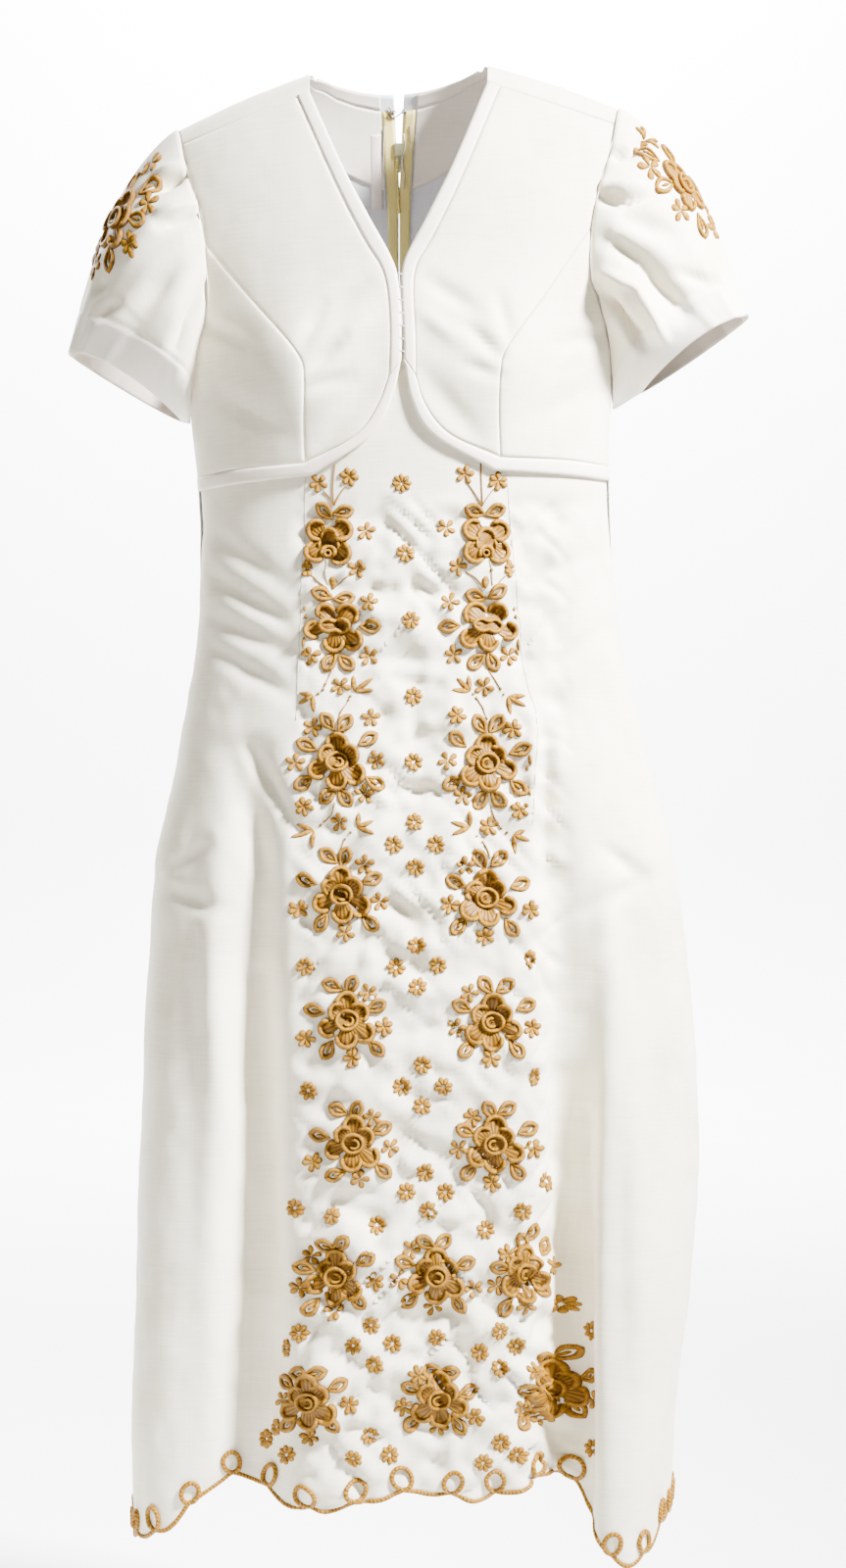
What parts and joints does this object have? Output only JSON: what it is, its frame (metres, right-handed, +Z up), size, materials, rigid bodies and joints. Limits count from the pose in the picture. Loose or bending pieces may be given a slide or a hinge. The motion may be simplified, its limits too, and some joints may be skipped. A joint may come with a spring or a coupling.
{
  "type": "embroidered maxi dress",
  "caption": "Maxi dress with V-neck mock bolero bodice, short puffed sleeves, raised floral embroidery down the front and a scalloped corded hem, hanging filled out and hollow.",
  "frame": {"origin": "midway between the tops of the shoulder seams, where the dress is held", "axes": "+Z up, the front of the dress towards -Y, the viewer's right (the dress's own left) towards +X"},
  "size_m": [0.6342, 0.2267, 1.3755],
  "materials": {
    "cream_cloth": "fine slubby plain weave, soft sheen",
    "ivory_binding": "smooth matt bias binding",
    "gold_thread": "lustrous satin stitch and cord",
    "yellow_zip_tape": "matt woven tape",
    "zip_metal": "semi-gloss enamel"
  },
  "bodies": {
    "dress": {"back_facing_left": "ivory_binding", "back_facing_right": "ivory_binding", "back_neck_binding_left": "ivory_binding", "back_neck_binding_right": "ivory_binding", "bolero_binding_left": "ivory_binding", "bolero_binding_right": "ivory_binding", "bolero_center_left": "cream_cloth", "bolero_center_right": "cream_cloth", "bolero_side_left": "cream_cloth", "bolero_side_right": "cream_cloth", "dress_back_left": "cream_cloth", "dress_back_right": "cream_cloth", "dress_front": "cream_cloth", "hem_cord_front": "gold_thread", "hem_cord_left": "gold_thread", "hem_cord_right": "gold_thread", "neck_binding_left": "ivory_binding", "neck_binding_right": "ivory_binding", "rose_center_7": "gold_thread", "rose_center_8": "gold_thread", "rose_left_1": "gold_thread", "rose_left_2": "gold_thread", "rose_left_3": "gold_thread", "rose_left_4": "gold_thread", "rose_left_5": "gold_thread", "rose_left_6": "gold_thread", "rose_left_7": "gold_thread", "rose_left_8": "gold_thread", "rose_right_1": "gold_thread", "rose_right_2": "gold_thread", "rose_right_3": "gold_thread", "rose_right_4": "gold_thread", "rose_right_5": "gold_thread", "rose_right_6": "gold_thread", "rose_right_7": "gold_thread", "rose_right_8": "gold_thread", "sleeve_left": "cream_cloth", "sleeve_right": "cream_cloth", "zip_slider": "zip_metal", "zip_tape_left": "yellow_zip_tape", "zip_tape_right": "yellow_zip_tape"},
    "pull": {"zip_pull": "zip_metal"}
  },
  "joints": [
    {"name": "pull_swing", "type": "hinge", "parent": "dress", "child": "pull", "pos_m": [-0.006, 0.06072, -0.03408], "axis": [1, 0, 0], "range_deg": [0, 150]}
  ]
}
